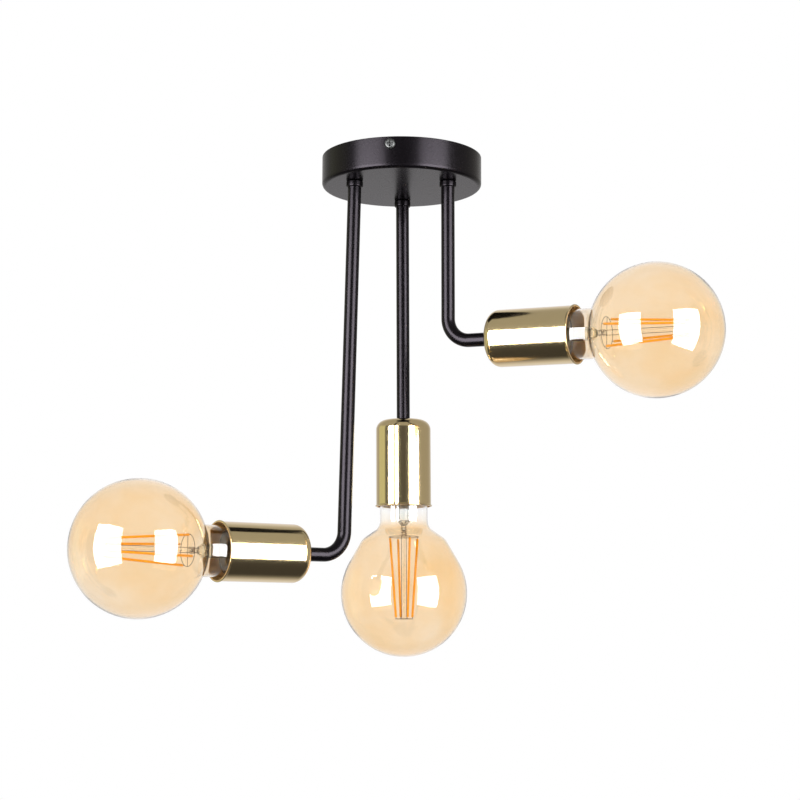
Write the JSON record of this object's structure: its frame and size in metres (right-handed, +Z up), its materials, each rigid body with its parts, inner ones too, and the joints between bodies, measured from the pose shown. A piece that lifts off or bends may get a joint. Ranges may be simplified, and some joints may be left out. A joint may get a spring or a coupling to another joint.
{
  "type": "semi flush ceiling light",
  "caption": "Round black ceiling canopy with bent black tubes that carry polished brass lamp cups and amber globe bulbs pointing sideways and down.",
  "frame": {"origin": "middle of the mounting strip's back face, which lies on the ceiling", "axes": "+Z up into the ceiling, along the canopy's axis; +Y along the mounting strip, its slots and its side screws; +X to the right arm's side"},
  "size_m": [0.443, 0.2668, 0.3733],
  "materials": {
    "black_enamel": "fine-texture satin powder coat",
    "polished_brass": "polished and lacquered",
    "plain_brass": "as rolled",
    "zinc_steel": "zinc plated",
    "nickel_steel": "nickel plated",
    "nickel_cap": "nickel plated, rolled thread",
    "nickel_wire": "drawn wire",
    "black_phenolic": "moulded",
    "white_nylon": "moulded",
    "brown_pvc": "extruded",
    "blue_pvc": "extruded",
    "green_pvc": "extruded, green with a yellow stripe",
    "white_pvc": "extruded",
    "amber_glass": "blown, clear amber",
    "clear_glass": "drawn and pinched",
    "black_vitrite": "pressed, opaque, with a solder tip",
    "amber_silicone": "coated filament strips"
  },
  "bodies": {
    "root": {"ceiling_bracket": "zinc_steel", "canopy_cover": "black_enamel", "cover_screws": "nickel_steel", "terminal_housing": "white_nylon", "terminal_sleeves": "plain_brass", "terminal_screws": "zinc_steel", "housing_screw": "zinc_steel", "earth_screw": "zinc_steel", "earth_ring": "zinc_steel", "earth_lead": "green_pvc", "live_leads": "brown_pvc", "neutral_leads": "blue_pvc", "centre_tube": "black_enamel", "centre_collar": "black_enamel", "centre_lock_nut": "zinc_steel", "centre_cable": "white_pvc", "centre_cup": "polished_brass", "centre_cup_nut": "zinc_steel", "centre_holder_body": "black_phenolic", "centre_holder_shell": "plain_brass", "centre_holder_contact": "plain_brass"},
    "left_arm": {"left_tube": "black_enamel", "left_collar": "black_enamel", "left_lock_nut": "zinc_steel", "left_cable": "white_pvc", "left_cup": "polished_brass", "left_cup_nut": "zinc_steel", "left_holder_body": "black_phenolic", "left_holder_shell": "plain_brass", "left_holder_contact": "plain_brass"},
    "right_arm": {"right_tube": "black_enamel", "right_collar": "black_enamel", "right_lock_nut": "zinc_steel", "right_cable": "white_pvc", "right_cup": "polished_brass", "right_cup_nut": "zinc_steel", "right_holder_body": "black_phenolic", "right_holder_shell": "plain_brass", "right_holder_contact": "plain_brass"},
    "left_bulb": {"left_bulb_glass": "amber_glass", "left_bulb_cap": "nickel_cap", "left_bulb_contact": "black_vitrite", "left_bulb_stem": "clear_glass", "left_bulb_filaments": "amber_silicone", "left_bulb_wires": "nickel_wire"},
    "centre_bulb": {"centre_bulb_glass": "amber_glass", "centre_bulb_cap": "nickel_cap", "centre_bulb_contact": "black_vitrite", "centre_bulb_stem": "clear_glass", "centre_bulb_filaments": "amber_silicone", "centre_bulb_wires": "nickel_wire"},
    "right_bulb": {"right_bulb_glass": "amber_glass", "right_bulb_cap": "nickel_cap", "right_bulb_contact": "black_vitrite", "right_bulb_stem": "clear_glass", "right_bulb_filaments": "amber_silicone", "right_bulb_wires": "nickel_wire"}
  },
  "joints": [
    {"name": "left_swivel", "type": "hinge", "parent": "root", "child": "left_arm", "pos_m": [-0.03186, -0.02418, 0], "axis": [0, 0, 1], "range_deg": [-75, 90]},
    {"name": "right_swivel", "type": "hinge", "parent": "root", "child": "right_arm", "pos_m": [0.03687, -0.0155, 0], "axis": [0, 0, 1], "range_deg": [-110, 110]},
    {"name": "left_bulb_removal", "type": "slide", "parent": "left_arm", "child": "left_bulb", "axis": [-0.7638, -0.6455, -0.0035], "range_m": [0, 0.05]},
    {"name": "centre_bulb_removal", "type": "slide", "parent": "root", "child": "centre_bulb", "axis": [0.0087, 0.0011, -1], "range_m": [0, 0.05]},
    {"name": "right_bulb_removal", "type": "slide", "parent": "right_arm", "child": "right_bulb", "axis": [0.9464, -0.3222, -0.0244], "range_m": [0, 0.05]}
  ]
}
